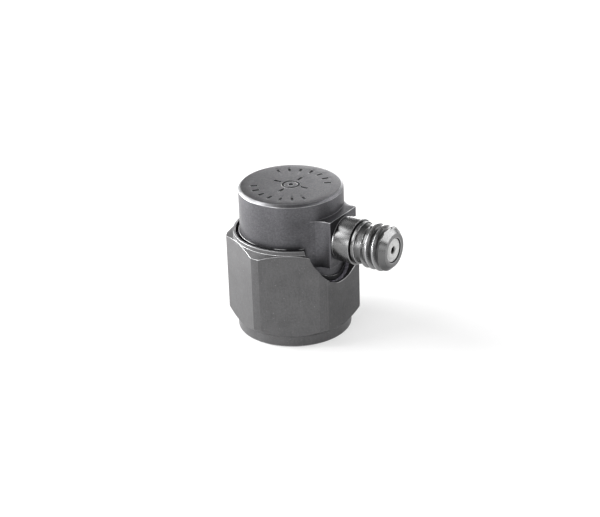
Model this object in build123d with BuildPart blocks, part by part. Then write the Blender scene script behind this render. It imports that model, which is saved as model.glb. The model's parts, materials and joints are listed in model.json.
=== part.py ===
from build123d import *
import os
from math import cos, radians, tan

# A small vibration sensor with an isolated base. A round sensing case with a side
# connector is potted into a mounting shell that is turned and milled from hexagon bar.
# Millimetres. +Z runs up the case, +X points out of the connector, and the origin is
# the centre of the foot's underside.

os.makedirs("parts", exist_ok=True)

# Mounting shell
hex_across_flats = 12.70
corner_trim = 0.25
shell_height = 11.22
foot_height = 1.26
foot_inset = 0.20
foot_edge_chamfer = 0.08
rim_height = 0.47
rim_inset = 0.05
upper_cone_angle = 30.0
lower_cone_angle = 40.0
shell_floor_height = 4.90
shell_flat_wall = 0.30

# Stud hole in the foot, before its thread is cut
stud_hole_diameter = 4.04
stud_hole_depth = 3.60
stud_hole_countersink = 0.30
drill_point_angle = 118.0

# Round cut-outs that let the connector block out of the shell and its sleeve
shell_cutout_radius = 4.40
sleeve_cutout_radius = 3.85
cutout_drop = 0.50

# Isolation between the shell and the case
isolation_disc_thickness = 0.60
isolation_gap = 0.35
sleeve_wall = 0.13
sleeve_drop = 0.02
potting_drop = 0.85
fit_gap = 0.01

# Sensing case, measured up and down from the connector's axis
connector_rise = 5.95
cap_rise = 4.65
case_wall = 0.55
cap_thickness = 0.80
cap_edge_chamfer = 0.25
board_rise = 1.45
board_ledge_width = 0.45

# Connector block on the case
block_width = 4.98
block_height = 5.24
block_reach = 0.92
block_fillet_radius = 2.00
block_side_flat = 0.20

# Base that closes the case, with the pedestal and post of the sensing element
flange_thickness = 0.50
spigot_height = 0.60
pedestal_diameter = 6.20
pedestal_height = 0.40
post_diameter = 1.80
post_projection = 0.20
post_tip_chamfer = 0.12

# Crystal rings with the electrode between them
crystal_diameter = 5.80
crystal_bore = 2.80
crystal_thickness = 0.50
electrode_thickness = 0.10
electrode_tab_width = 0.80
electrode_tab_wall_gap = 0.77
bush_end_gap = 0.05

# Seismic mass, spring washer and preload nut
mass_wall_gap = 1.60
mass_height = 2.20
mass_edge_chamfer = 0.20
post_clearance = 0.05
washer_seat_depth = 0.15
washer_seat_margin = 0.15
washer_diameter = 4.00
washer_thickness = 0.20
washer_rise = 0.15
nut_across_flats = 3.40
nut_corner_trim = 0.12
nut_height = 0.90

# Amplifier board and what is soldered to it
board_thickness = 0.50
board_edge_gap = 0.12
chip_length = 2.60
chip_width = 2.00
chip_height = 0.80
chip_edge_chamfer = 0.10
resistor_size = (0.60, 1.20, 0.40)
resistor_count = 3
resistor_pitch = 1.00
resistor_row_offset = 2.10
capacitor_size = (0.90, 1.60, 0.80)
capacitor_count = 2
capacitor_pitch = 1.70
capacitor_row_offset = 2.30
lead_diameter = 0.24
lead_bend_radius = 0.40
output_lead_run = 0.90

# Connector: neck, undercut and thread, turned in one piece
neck_diameter = 4.90
neck_length = 2.05
neck_groove_diameter = 4.10
neck_groove_width = 0.14
collar_diameter = 4.50
collar_length = 0.37
relief_diameter = 4.20
relief_length = 0.65
thread_diameter = 4.826
thread_length = 2.33
tip_chamfer = 0.59
weld_spigot_diameter = 3.90
weld_spigot_length = 1.40
connector_bore = 2.58

# Inside the connector
glass_setback = 0.20
glass_length = 1.80
pin_diameter = 0.50
pin_inner_reach = 0.92
pin_engagement = 0.90
insulator_recess = 0.12
insulator_length = 3.30
contact_diameter = 0.84
contact_length = 3.90
contact_recess = 0.13
contact_socket_diameter = 0.50
contact_socket_depth = 2.40
contact_slot_width = 0.16
contact_slot_length = 1.60
contact_slot_angle = 50.0

# Radii that follow from the hexagon inwards
flat_radius = hex_across_flats / 2
corner_radius = flat_radius / cos(radians(30)) - corner_trim
foot_radius = flat_radius - foot_inset
rim_radius = flat_radius - rim_inset
shell_bore_radius = flat_radius - shell_flat_wall
sleeve_radius = shell_bore_radius - isolation_gap
case_radius = sleeve_radius - sleeve_wall
cavity_radius = case_radius - case_wall
mass_radius = cavity_radius - mass_wall_gap
post_radius = post_diameter / 2
crystal_radius = crystal_diameter / 2
crystal_bore_radius = crystal_bore / 2

# Heights from the foot upwards
disc_top = shell_floor_height + isolation_disc_thickness
connector_height = disc_top + connector_rise
cutout_height = connector_height - cutout_drop
sleeve_top = shell_height - sleeve_drop
potting_top = shell_height - potting_drop
flange_top = disc_top + flange_thickness
spigot_top = flange_top + spigot_height
pedestal_top = spigot_top + pedestal_height
lower_crystal_top = pedestal_top + crystal_thickness
electrode_top = lower_crystal_top + electrode_thickness
upper_crystal_top = electrode_top + crystal_thickness
mass_top = upper_crystal_top + mass_height
washer_seat = mass_top - washer_seat_depth
washer_top = washer_seat + washer_rise + washer_thickness
nut_top = washer_top + nut_height
post_top = nut_top + post_projection
case_top = connector_height + cap_rise
cavity_top = case_top - cap_thickness
board_bottom = connector_height + board_rise
board_top = board_bottom + board_thickness

# Stations along the connector, from the case outwards
connector_axis = Axis((0, 0, connector_height), (1, 0, 0))
block_face = case_radius + block_reach
weld_spigot_start = block_face - weld_spigot_length
neck_end = block_face + neck_length
groove_end = neck_end + neck_groove_width
collar_end = groove_end + collar_length
thread_start = collar_end + relief_length
thread_end = thread_start + thread_length
connector_tip = thread_end + tip_chamfer
glass_start = weld_spigot_start + glass_setback
insulator_front = connector_tip - insulator_recess
contact_front = insulator_front - contact_recess
contact_back = contact_front - contact_length
pin_inner_end = cavity_radius - pin_inner_reach

# The block's fillets touch its sides and the case, and leave the least flat on each side
side_end = block_face - block_side_flat
widest_fillet = (side_end**2 + (block_width / 2) ** 2 - case_radius**2) / (2 * case_radius - block_width)
block_fillet = min(block_fillet_radius, widest_fillet)


def turned(outline, axis=Axis.Z):
    """Revolve a closed outline, drawn in the XZ plane, about an axis in that plane."""
    with BuildPart() as piece:
        with BuildSketch(Plane.XZ):
            with BuildLine():
                Polyline(*outline, close=True)
            make_face()
        revolve(axis=axis)
    return piece.part


def ring(inner_radius, outer_radius, bottom, top):
    """A plain ring about the Z axis."""
    outline = [(inner_radius, bottom), (outer_radius, bottom), (outer_radius, top), (inner_radius, top)]
    return turned(outline)


def bushing(inner_radius, outer_radius, start, end):
    """A plain tube along the connector axis, or a rod when its inner radius is zero."""
    low = connector_height + inner_radius
    high = connector_height + outer_radius
    return turned([(start, low), (end, low), (end, high), (start, high)], connector_axis)


def turned_hexagon(across_flats, outline):
    """Hexagon bar along Z, with two flats square to X, turned down to a revolved outline."""
    with BuildPart() as piece:
        with BuildSketch(Plane.XZ):
            with BuildLine():
                Polyline(*outline, close=True)
            make_face()
        revolve(axis=Axis.Z)
        heights = [point[1] for point in outline]
        with BuildSketch(Plane.XY.offset(min(heights))):
            RegularPolygon(radius=across_flats / 2, side_count=6, major_radius=False, rotation=30)
        extrude(amount=max(heights) - min(heights), mode=Mode.INTERSECT)
    return piece.part


def chip_row(size, count, pitch, row_offset):
    """A row of like chips that lie across the board, soldered to its upper face."""
    width, length, height = size
    with BuildPart() as chips:
        with BuildSketch(Plane.XY.offset(board_top)):
            with Locations((0, row_offset)):
                with GridLocations(pitch, 0, count, 1):
                    Rectangle(width, length)
        extrude(amount=height)
    return chips.part


def finish(part, name):
    """Label a finished piece and write it to its own file."""
    part.label = name
    export_step(part, f"parts/{name}.step")


# Mounting shell: hexagon bar turned to a foot, two cones and a rim, then bored from both
# ends and cut away on the connector side
cone_run = corner_radius - rim_radius
lower_cone_top = foot_height + cone_run * tan(radians(lower_cone_angle))
rim_bottom = shell_height - rim_height
upper_cone_bottom = rim_bottom - cone_run * tan(radians(upper_cone_angle))
shell_outline = [
    (0, 0),
    (foot_radius - foot_edge_chamfer, 0),
    (foot_radius, foot_edge_chamfer),
    (foot_radius, foot_height),
    (rim_radius, foot_height),
    (corner_radius, lower_cone_top),
    (corner_radius, upper_cone_bottom),
    (rim_radius, rim_bottom),
    (rim_radius, shell_height),
    (0, shell_height),
]
stud_radius = stud_hole_diameter / 2
drill_point = stud_radius / tan(radians(drill_point_angle / 2))
stud_hole_outline = [
    (0, 0),
    (stud_radius + stud_hole_countersink, 0),
    (stud_radius, stud_hole_countersink),
    (stud_radius, stud_hole_depth),
    (0, stud_hole_depth + drill_point),
]
with BuildPart() as hex_base:
    add(turned_hexagon(hex_across_flats, shell_outline))
    with BuildSketch(Plane.XY.offset(shell_floor_height)):
        Circle(shell_bore_radius)
    extrude(amount=shell_height - shell_floor_height, mode=Mode.SUBTRACT)
    with BuildSketch(Plane.XZ):
        with BuildLine():
            Polyline(*stud_hole_outline, close=True)
        make_face()
    revolve(axis=Axis.Z, mode=Mode.SUBTRACT)
    with BuildSketch(Plane.YZ):
        with Locations((0, cutout_height)):
            Circle(shell_cutout_radius)
    extrude(amount=hex_across_flats, mode=Mode.SUBTRACT)
finish(hex_base.part, "hex_base")

# Ceramic disc under the case, and the film sleeve and potting round it
isolation_disc = ring(0, shell_bore_radius - fit_gap, shell_floor_height, disc_top)
finish(isolation_disc, "isolation_disc")

with BuildPart() as isolation_sleeve:
    add(ring(case_radius + fit_gap, sleeve_radius, disc_top, sleeve_top))
    with BuildSketch(Plane.YZ):
        with Locations((0, cutout_height)):
            Circle(sleeve_cutout_radius)
    extrude(amount=shell_bore_radius, mode=Mode.SUBTRACT)
finish(isolation_sleeve.part, "isolation_sleeve")

with BuildPart() as potting_ring:
    add(ring(sleeve_radius + fit_gap, shell_bore_radius - fit_gap, disc_top, potting_top))
    with BuildSketch(Plane.YZ):
        with Locations((0, cutout_height)):
            Circle(shell_cutout_radius)
    extrude(amount=shell_bore_radius, mode=Mode.SUBTRACT)
finish(potting_ring.part, "potting_ring")

# Sensing case: turned from bar and hollowed from below, with a milled block that carries
# the connector and flows into the case on both sides
case_outline = [
    (0, flange_top),
    (case_radius, flange_top),
    (case_radius, case_top - cap_edge_chamfer),
    (case_radius - cap_edge_chamfer, case_top),
    (0, case_top),
]
cavity_outline = [
    (0, flange_top),
    (cavity_radius, flange_top),
    (cavity_radius, board_top),
    (cavity_radius - board_ledge_width, board_top),
    (cavity_radius - board_ledge_width, cavity_top),
    (0, cavity_top),
]
with BuildPart() as sensor_case:
    add(turned(case_outline))
    with BuildSketch(Plane.XY.offset(connector_height - block_height / 2)) as block_plan:
        Circle(case_radius)
        with Locations((block_face / 2, 0)):
            Rectangle(block_face, block_width)
        fillet(block_plan.vertices().group_by(Axis.X)[0], block_fillet)
    extrude(amount=block_height)
    add(turned(cavity_outline), mode=Mode.SUBTRACT)
    with BuildSketch(Plane.YZ):
        with Locations((0, connector_height)):
            Circle(weld_spigot_diameter / 2 + fit_gap)
    extrude(amount=block_face, mode=Mode.SUBTRACT)
finish(sensor_case.part, "sensor_case")

# Base of the case, with the pedestal and the post that the sensing element stands on
case_base = turned([
    (0, disc_top),
    (case_radius, disc_top),
    (case_radius, flange_top),
    (cavity_radius - fit_gap, flange_top),
    (cavity_radius - fit_gap, spigot_top),
    (pedestal_diameter / 2, spigot_top),
    (pedestal_diameter / 2, pedestal_top),
    (post_radius, pedestal_top),
    (post_radius, post_top - post_tip_chamfer),
    (post_radius - post_tip_chamfer, post_top),
    (0, post_top),
])
finish(case_base, "case_base")

# Two crystal rings with the signal electrode clamped between them
crystal_ring_lower = ring(crystal_bore_radius, crystal_radius, pedestal_top, lower_crystal_top)
finish(crystal_ring_lower, "crystal_ring_lower")

electrode_tab_end = cavity_radius - electrode_tab_wall_gap
with BuildPart() as electrode_ring:
    with BuildSketch(Plane.XY.offset(lower_crystal_top)):
        Circle(crystal_radius)
        with Locations((-electrode_tab_end / 2, 0)):
            Rectangle(electrode_tab_end, electrode_tab_width)
        Circle(crystal_bore_radius, mode=Mode.SUBTRACT)
    extrude(amount=electrode_thickness)
finish(electrode_ring.part, "electrode_ring")

crystal_ring_upper = ring(crystal_bore_radius, crystal_radius, electrode_top, upper_crystal_top)
finish(crystal_ring_upper, "crystal_ring_upper")

# Insulating bush that keeps the electrode and crystals off the post
post_bush = ring(
    post_radius + fit_gap,
    crystal_bore_radius - fit_gap,
    pedestal_top,
    upper_crystal_top - bush_end_gap,
)
finish(post_bush, "post_bush")

# Seismic mass with the recess that seats its spring washer
washer_radius = washer_diameter / 2
seat_radius = washer_radius + washer_seat_margin
seismic_mass = turned([
    (post_radius + post_clearance, upper_crystal_top),
    (mass_radius - mass_edge_chamfer, upper_crystal_top),
    (mass_radius, upper_crystal_top + mass_edge_chamfer),
    (mass_radius, mass_top - mass_edge_chamfer),
    (mass_radius - mass_edge_chamfer, mass_top),
    (seat_radius, mass_top),
    (seat_radius, washer_seat),
    (post_radius + post_clearance, washer_seat),
])
finish(seismic_mass, "seismic_mass")

# Conical spring washer, resting on its outer edge and pressed down by the nut
washer_bore_radius = post_radius + 2 * post_clearance
spring_washer = turned([
    (washer_bore_radius, washer_seat + washer_rise),
    (washer_radius, washer_seat),
    (washer_radius, washer_seat + washer_thickness),
    (washer_bore_radius, washer_top),
])
finish(spring_washer, "spring_washer")

nut_corner_radius = nut_across_flats / 2 / cos(radians(30))
nut_outline = [
    (0, washer_top),
    (nut_corner_radius, washer_top),
    (nut_corner_radius, nut_top - nut_corner_trim),
    (nut_corner_radius - nut_corner_trim, nut_top),
    (0, nut_top),
]
with BuildPart() as preload_nut:
    add(turned_hexagon(nut_across_flats, nut_outline))
    with Locations((0, 0, nut_top)):
        Hole(post_radius + fit_gap)
finish(preload_nut.part, "preload_nut")

# Amplifier board, bonded up against the ledge in the case
with BuildPart() as amplifier_board:
    with BuildSketch(Plane.XY.offset(board_bottom)):
        Circle(cavity_radius - board_edge_gap)
    extrude(amount=board_thickness)
finish(amplifier_board.part, "amplifier_board")

with BuildPart() as amplifier_chip:
    with BuildSketch(Plane.XY.offset(board_top)):
        Rectangle(chip_length, chip_width)
    extrude(amount=chip_height)
    chamfer(amplifier_chip.edges().group_by(Axis.Z)[-1], chip_edge_chamfer)
finish(amplifier_chip.part, "amplifier_chip")

chip_resistors = chip_row(resistor_size, resistor_count, resistor_pitch, resistor_row_offset)
finish(chip_resistors, "chip_resistors")

chip_capacitors = chip_row(capacitor_size, capacitor_count, capacitor_pitch, -capacitor_row_offset)
finish(chip_capacitors, "chip_capacitors")

# Leads: straight up from the electrode's tab past the mass, and bent up from the
# feedthrough pin, both to the underside of the board
with BuildPart() as signal_lead:
    with BuildSketch(Plane.XY.offset(electrode_top)):
        with Locations((lead_diameter - electrode_tab_end, 0)):
            Circle(lead_diameter / 2)
    extrude(amount=board_bottom - electrode_top)
finish(signal_lead.part, "signal_lead")

output_lead_route = [
    (pin_inner_end, 0, connector_height),
    (pin_inner_end - output_lead_run, 0, connector_height),
    (pin_inner_end - output_lead_run, 0, board_bottom),
]
with BuildPart() as output_lead:
    with BuildLine():
        FilletPolyline(*output_lead_route, radius=lead_bend_radius)
    with BuildSketch(Plane(origin=output_lead_route[0], z_dir=(-1, 0, 0))):
        Circle(lead_diameter / 2)
    sweep()
finish(output_lead.part, "output_lead")

# Connector shell: neck against the block, groove, collar, thread relief, thread and tip
bore_line = connector_height + connector_bore / 2
spigot_line = connector_height + weld_spigot_diameter / 2
neck_line = connector_height + neck_diameter / 2
groove_line = connector_height + neck_groove_diameter / 2
collar_line = connector_height + collar_diameter / 2
relief_line = connector_height + relief_diameter / 2
thread_line = connector_height + thread_diameter / 2
connector_shell = turned([
    (weld_spigot_start, bore_line),
    (weld_spigot_start, spigot_line),
    (block_face, spigot_line),
    (block_face, neck_line),
    (neck_end, neck_line),
    (neck_end, groove_line),
    (groove_end, groove_line),
    (groove_end, collar_line),
    (collar_end, collar_line),
    (collar_end, relief_line),
    (thread_start, relief_line),
    (thread_start, thread_line),
    (thread_end, thread_line),
    (connector_tip, thread_line - tip_chamfer),
    (connector_tip, bore_line),
], connector_axis)
finish(connector_shell, "connector_shell")

# Glass seal and feedthrough pin at the back of the connector
bore_fit_radius = connector_bore / 2 - fit_gap
pin_radius = pin_diameter / 2
glass_seal = bushing(pin_radius + fit_gap, bore_fit_radius, glass_start, glass_start + glass_length)
finish(glass_seal, "glass_seal")

feedthrough_pin = bushing(0, pin_radius, pin_inner_end, contact_back + pin_engagement)
finish(feedthrough_pin, "feedthrough_pin")

# White insulator, and the slotted contact that stands in it
contact_radius = contact_diameter / 2
insulator_start = insulator_front - insulator_length
connector_insulator = bushing(contact_radius + fit_gap, bore_fit_radius, insulator_start, insulator_front)
finish(connector_insulator, "connector_insulator")

with BuildPart() as centre_contact:
    add(bushing(0, contact_radius, contact_back, contact_front))
    add(bushing(0, pin_radius + fit_gap, contact_back, contact_back + pin_engagement), mode=Mode.SUBTRACT)
    socket_start = contact_front - contact_socket_depth
    add(bushing(0, contact_socket_diameter / 2, socket_start, contact_front), mode=Mode.SUBTRACT)
    with BuildSketch(Plane.YZ.offset(contact_front)):
        with Locations((0, connector_height)):
            Rectangle(contact_diameter, contact_slot_width, rotation=contact_slot_angle)
    extrude(amount=-contact_slot_length, mode=Mode.SUBTRACT)
finish(centre_contact.part, "centre_contact")
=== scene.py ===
import json
import math

import bmesh
import bpy
import numpy as np
from mathutils import Matrix, Vector


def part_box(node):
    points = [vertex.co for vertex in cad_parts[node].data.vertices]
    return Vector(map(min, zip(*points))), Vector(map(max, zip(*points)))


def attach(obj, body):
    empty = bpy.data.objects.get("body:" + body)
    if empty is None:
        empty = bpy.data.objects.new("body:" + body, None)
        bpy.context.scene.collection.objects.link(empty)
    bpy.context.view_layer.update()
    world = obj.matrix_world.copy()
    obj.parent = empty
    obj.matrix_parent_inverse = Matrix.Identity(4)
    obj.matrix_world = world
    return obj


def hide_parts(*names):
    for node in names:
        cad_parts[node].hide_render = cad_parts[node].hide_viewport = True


bl_info = {
    "name": "Vibration sensor dressing",
    "version": (1, 0, 0),
    "blender": (4, 5, 0),
    "location": "View3D > Sidebar > Sensor",
    "description": "Builds the visible surfaces and finishes of a small vibration sensor on its CAD frame",
    "category": "Object",
}

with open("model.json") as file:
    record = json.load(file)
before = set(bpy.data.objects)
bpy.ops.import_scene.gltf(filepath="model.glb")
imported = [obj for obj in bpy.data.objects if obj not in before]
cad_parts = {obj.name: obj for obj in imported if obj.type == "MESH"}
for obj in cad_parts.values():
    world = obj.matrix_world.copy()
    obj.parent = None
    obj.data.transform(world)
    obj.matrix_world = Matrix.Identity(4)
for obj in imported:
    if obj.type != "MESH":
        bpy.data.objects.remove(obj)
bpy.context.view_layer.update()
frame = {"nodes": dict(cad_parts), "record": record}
MM = 0.001

# Places and sizes that the frame gives, in metres
SHELL_LOW, SHELL_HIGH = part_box("hex_base")
CASE_LOW, CASE_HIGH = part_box("sensor_case")
SLEEVE_LOW, SLEEVE_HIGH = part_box("isolation_sleeve")
POTTING_LOW, POTTING_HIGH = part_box("potting_ring")
CONNECTOR_LOW, CONNECTOR_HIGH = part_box("connector_shell")
INSULATOR_LOW, INSULATOR_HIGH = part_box("connector_insulator")
CONTACT_LOW, CONTACT_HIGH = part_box("centre_contact")
AXIS_HEIGHT = (CONNECTOR_LOW.z + CONNECTOR_HIGH.z) / 2

# Small sizes that several surfaces share
FIT_GAP = 0.01 * MM
MERGE_DISTANCE = 0.0003 * MM
EVEN = 1e-7
THREAD_RUN_OUT = 0.1 * MM
RING_DEPTH = 0.025 * MM
SLEEVE_ROUND = 0.058 * MM
INSULATOR_BEVEL = 0.07 * MM
INSULATOR_ROUND = 0.02 * MM
SIXTH_TURN = math.radians(60.0)
TICK_DEGREES = 18.0

# How wear, painted highlights and painted shade change round the upright pieces, as (degrees from the
# connector's side, value)
# Outside edges of the shell are rubbed bare and painted pale as highlights, weaker at the left and stronger
# in front and at the cut-out
SHELL_EDGE_WEAR_AND_HIGHLIGHT = (
    (-175, 1.0), (-152, 0.6), (-100, 0.6), (-86, 1.5), (-50, 1.5),
    (-35, 1.0), (-14, 1.0), (-6, 1.7), (26, 1.7), (36, 1.0),
)
# The rim's top is rubbed bare and painted pale as a highlight, most at the left and the back, least at the
# front right
SHELL_RIM_WEAR_AND_HIGHLIGHT = ((-175, 1.2), (-150, 0.8), (-95, 0.8), (-75, 0.5), (-45, 0.4), (-20, 0.6), (90, 1.2))
# Painted light: the low part of the shell's left side is made a little paler
SHELL_LOW_SIDE_LIGHT = ((-172, 0.0), (-150, 1.0), (-95, 1.0), (-80, 0.3), (-62, 0.0))
# Painted shade: the flat that faces the connector's side is made darker
SHELL_FACE_SHADE = ((-25.2, 0.0), (-24.4, 0.27), (32, 0.27), (40, 0.0))
CUTOUT_BLUNTNESS = ((-14, 1.0), (-6, 2.8), (26, 2.8), (36, 1.0))
# The cap's chamfer is rubbed bare and painted pale as a highlight at the left and front, less at the back,
# hardly at the right
CAP_CHAMFER_WEAR_AND_HIGHLIGHT = ((-180, 0.45), (-90, 0.42), (-70, 0.2), (-45, 0.05), (0, 0.0), (90, 0.2))
# Painted shade on the case's wall on both sides of the block
BESIDE_BLOCK_SHADE = ((-68, 0.0), (-50, 0.42), (-36, 0.25), (36, 0.25), (50, 0.42), (68, 0.0))
# The film's edge is painted pale as a glint: at the left, then in a short streak in front and at the cut-out
FILM_EDGE_GLINT = (
    (-166, 0.0), (-158, 1.0), (-106, 1.0), (-97, 0.0),
    (-76, 0.0), (-73, 0.9), (-65, 0.9), (-62, 0.0),
    (-50, 0.0), (-45, 0.6), (-6, 0.6), (1, 0.0),
    (80, 0.0), (92, 0.4), (138, 0.4), (150, 0.0),
)

# The same round the connector's axis, as (degrees up from the Y axis, value)
# Painted shade on the top of the connector's collar and relief
CONNECTOR_TOP_SHADE = ((25, 0.0), (45, 0.55), (100, 0.55), (125, 0.0))
# Painted light on the thread's flanks, most at 165 degrees
THREAD_FLANK_LIGHT = ((-90, 0.6), (0, 0.5), (110, 0.3), (165, 1.0))
# Painted shade in the thread's roots, a little less below and near 185 degrees
THREAD_ROOT_SHADE = ((-150, 0.7), (-90, 0.8), (0, 1.0), (150, 1.0), (185, 0.8))
# Painted shade on the cone at the connector's tip, most below and towards -Y
CONE_SHADE = ((-175, 0.3), (-150, 0.5), (-120, 0.65), (-80, 0.2), (-60, 0.0), (160, 0.0))
INSULATOR_SHADE = ((-180, 0.5), (-120, 0.15), (-60, 0.0), (100, 0.0), (150, 0.35))


def length(name, description, default):
    """A length property in metres."""
    return bpy.props.FloatProperty(
        name=name, description=description, default=default, min=0.0, precision=5, unit="LENGTH"
    )


def angle(name, description, degrees):
    """An angle property, given here in degrees."""
    return bpy.props.FloatProperty(
        name=name, description=description, default=math.radians(degrees), subtype="ANGLE"
    )


def colour(name, description, default):
    """A colour property, in linear light."""
    return bpy.props.FloatVectorProperty(
        name=name, description=description, default=default, size=3, min=0.0, max=1.0, subtype="COLOR"
    )


def share(name, description, default):
    """A property from nought to one."""
    return bpy.props.FloatProperty(
        name=name, description=description, default=default, min=0.0, max=1.0, subtype="FACTOR"
    )


class ShellSizes(bpy.types.PropertyGroup):
    """Sizes of the mounting shell."""

    across_flats: length("Across flats", "Width of the hexagon across its flats", SHELL_HIGH.x - SHELL_LOW.x)
    across_corners: length("Across corners", "Width over the turned corners", SHELL_HIGH.y - SHELL_LOW.y)
    height: length("Height", "Height of the shell from the foot to the rim", SHELL_HIGH.z)
    foot_height: length("Foot height", "Height of the round foot", 1.26 * MM)
    foot_inset: length("Foot inset", "How far the foot stands in from the flats", 0.20 * MM)
    foot_edge: length("Foot edge", "Chamfer round the underside of the foot", 0.08 * MM)
    rim_height: length("Rim height", "Height of the round rim above the upper cone", 0.47 * MM)
    rim_inset: length("Rim inset", "How far the rim stands in from the flats", 0.05 * MM)
    upper_cone: angle("Upper cone", "Slope of the cone turned on the upper corners", 30.0)
    lower_cone: angle("Lower cone", "Slope of the cone turned on the lower corners", 40.0)
    wall: length("Wall", "Thickness of the wall at the middle of a flat", 0.30 * MM)
    floor_height: length("Floor height", "Height of the shell's floor above the foot", 4.90 * MM)
    cutout_radius: length("Cut-out radius", "Radius of the cut-out for the connector", 4.40 * MM)
    cutout_drop: length("Cut-out drop", "How far the cut-out's axis lies below the connector's", 0.50 * MM)
    edge_round: length("Edge rounding", "Reach of the rounding on the shell's edges", 0.036 * MM)
    rim_round: length("Rim rounding", "Reach of the rounding on the top of the rim", 0.10 * MM)


class StudHoleSizes(bpy.types.PropertyGroup):
    """Sizes of the threaded hole in the foot."""

    radius: length("Minor radius", "Radius over the thread's crests", 2.02 * MM)
    depth: length("Depth", "Depth of the full hole", 3.60 * MM)
    countersink: length("Countersink", "Chamfer at the mouth of the hole", 0.30 * MM)
    point: length("Drill point", "Height of the cone at the end of the hole", 1.21 * MM)
    thread_depth: length("Thread depth", "Depth of the thread in the wall of the hole", 0.36 * MM)


class CaseSizes(bpy.types.PropertyGroup):
    """Sizes of the sensing case."""

    radius: length("Radius", "Radius of the case", -CASE_LOW.x)
    wall: length("Wall", "Thickness of the case's wall", 0.55 * MM)
    cap_thickness: length("Cap thickness", "Thickness of the case's top", 0.80 * MM)
    ledge_width: length("Ledge width", "Width of the ledge that the board is bonded to", 0.45 * MM)
    ledge_drop: length("Ledge drop", "Distance from the ledge to the ceiling above it", 1.90 * MM)
    cap_chamfer: length("Cap chamfer", "Chamfer round the top of the case", 0.25 * MM)
    block_width: length("Block width", "Width of the block that carries the connector", 4.98 * MM)
    block_height: length("Block height", "Height of the block that carries the connector", 5.24 * MM)
    block_fillet: length("Block fillet", "Radius that leads each side of the block into the case", 2.00 * MM)
    edge_round: length("Edge rounding", "Reach of the rounding on the case's edges", 0.05 * MM)
    sleeve_cutout: length("Sleeve cut-out", "Radius of the round cut-out in the film sleeve", 3.85 * MM)
    mark_depth: length("Mark depth", "Depth of the marks engraved in the cap", 0.05 * MM)
    mark_width: length("Mark width", "Width of the strokes engraved in the cap", 0.24 * MM)
    mark_ring: length("Mark ring", "Radius of the ring at the middle of the cap", 0.85 * MM)
    bar_inner: length("Bar start", "Radius at which the bars beside the ring start", 1.25 * MM)
    bar_outer: length("Bar end", "Radius at which the bars beside the ring end", 2.15 * MM)
    tick_inner: length("Tick start", "Radius at which the ticks on the cap start", 3.50 * MM)
    tick_outer: length("Tick end", "Radius at which the ticks on the cap end", 4.25 * MM)


class ConnectorSizes(bpy.types.PropertyGroup):
    """Sizes of the side connector."""

    neck_radius: length("Neck radius", "Radius of the smooth neck", (CONNECTOR_HIGH.z - CONNECTOR_LOW.z) / 2)
    neck_length: length("Neck length", "Length of the neck from the block", 2.05 * MM)
    root_bead: length("Root bead", "Width of the weld bead at the root of the neck", 0.16 * MM)
    root_dip: length("Root dip", "Depth of the dip between the bead and the neck", 0.05 * MM)
    groove_radius: length("Groove radius", "Radius at the bottom of the groove beside the neck", 2.05 * MM)
    groove_width: length("Groove width", "Width of the groove beside the neck", 0.14 * MM)
    collar_radius: length("Collar radius", "Radius of the collar beyond the groove", 2.25 * MM)
    collar_length: length("Collar length", "Length of the collar", 0.37 * MM)
    relief_radius: length("Relief radius", "Radius of the thread relief", 2.10 * MM)
    relief_length: length("Relief length", "Length of the thread relief", 0.65 * MM)
    relief_rings: length("Relief rings", "Spacing of the tool's rings on the thread relief", 0.155 * MM)
    thread_radius: length("Thread radius", "Radius over the thread's crests", 2.413 * MM)
    thread_depth: length("Thread depth", "Depth of the thread", 0.40 * MM)
    thread_pitch: length("Thread pitch", "Pitch of the thread, 32 turns to the inch", 0.79375 * MM)
    crest_station: length("Crest station", "Where a crest crosses the side that faces the camera", 10.59 * MM)
    tip_chamfer: length("Tip chamfer", "Chamfer at the mouth of the connector", 0.59 * MM)
    spigot_radius: length("Spigot radius", "Radius of the spigot welded into the block", 1.95 * MM)
    bore_radius: length("Bore radius", "Radius of the connector's bore", 1.29 * MM)
    mouth_bevel: length("Mouth bevel", "Small bevel inside the mouth of the bore", 0.07 * MM)
    edge_round: length("Edge rounding", "Reach of the rounding on the connector's edges", 0.04 * MM)


class Finishes(bpy.types.PropertyGroup):
    """Colours of the visible finishes."""

    shell_steel: colour("Shell steel", "Satin steel of the mounting shell", (0.110, 0.109, 0.111))
    case_steel: colour("Case steel", "Finely turned steel of the case", (0.104, 0.103, 0.110))
    connector_steel: colour("Connector steel", "Bright turned steel of the connector", (0.160, 0.160, 0.161))
    # edge_steel is the bare steel of rubbed edges, and is also painted on as highlights: on the shell's rim
    # and edges, the cap's chamfer, the corner over the block, the weld bead and the thread's flanks
    edge_steel: colour("Edge steel", "Bare steel where edges are rubbed bright", (0.62, 0.62, 0.63))
    # This dark colour is the cap's engraved marks and the foot seam, and painted shade in grooves, roots,
    # recesses and beside the block
    residue_and_shade: colour("Residue and shade", "Dark residue in grooves, marks and corners", (0.013, 0.013, 0.014))
    insulator: colour("Insulator", "White polymer in the connector", (0.62, 0.62, 0.615))
    film: colour("Film", "Dark film between case and shell", (0.007, 0.007, 0.008))
    # film_edge is painted on the film's cut edge as a glint, and also colours the potting's pale specks
    film_edge: colour("Film edge", "Pale cut edge of the film", (0.70, 0.70, 0.71))
    potting: colour("Potting", "Dark resin in the gap", (0.155, 0.146, 0.175))
    grain: share("Grain", "Strength of the fine grain on the satin steel", 0.5)


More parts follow.
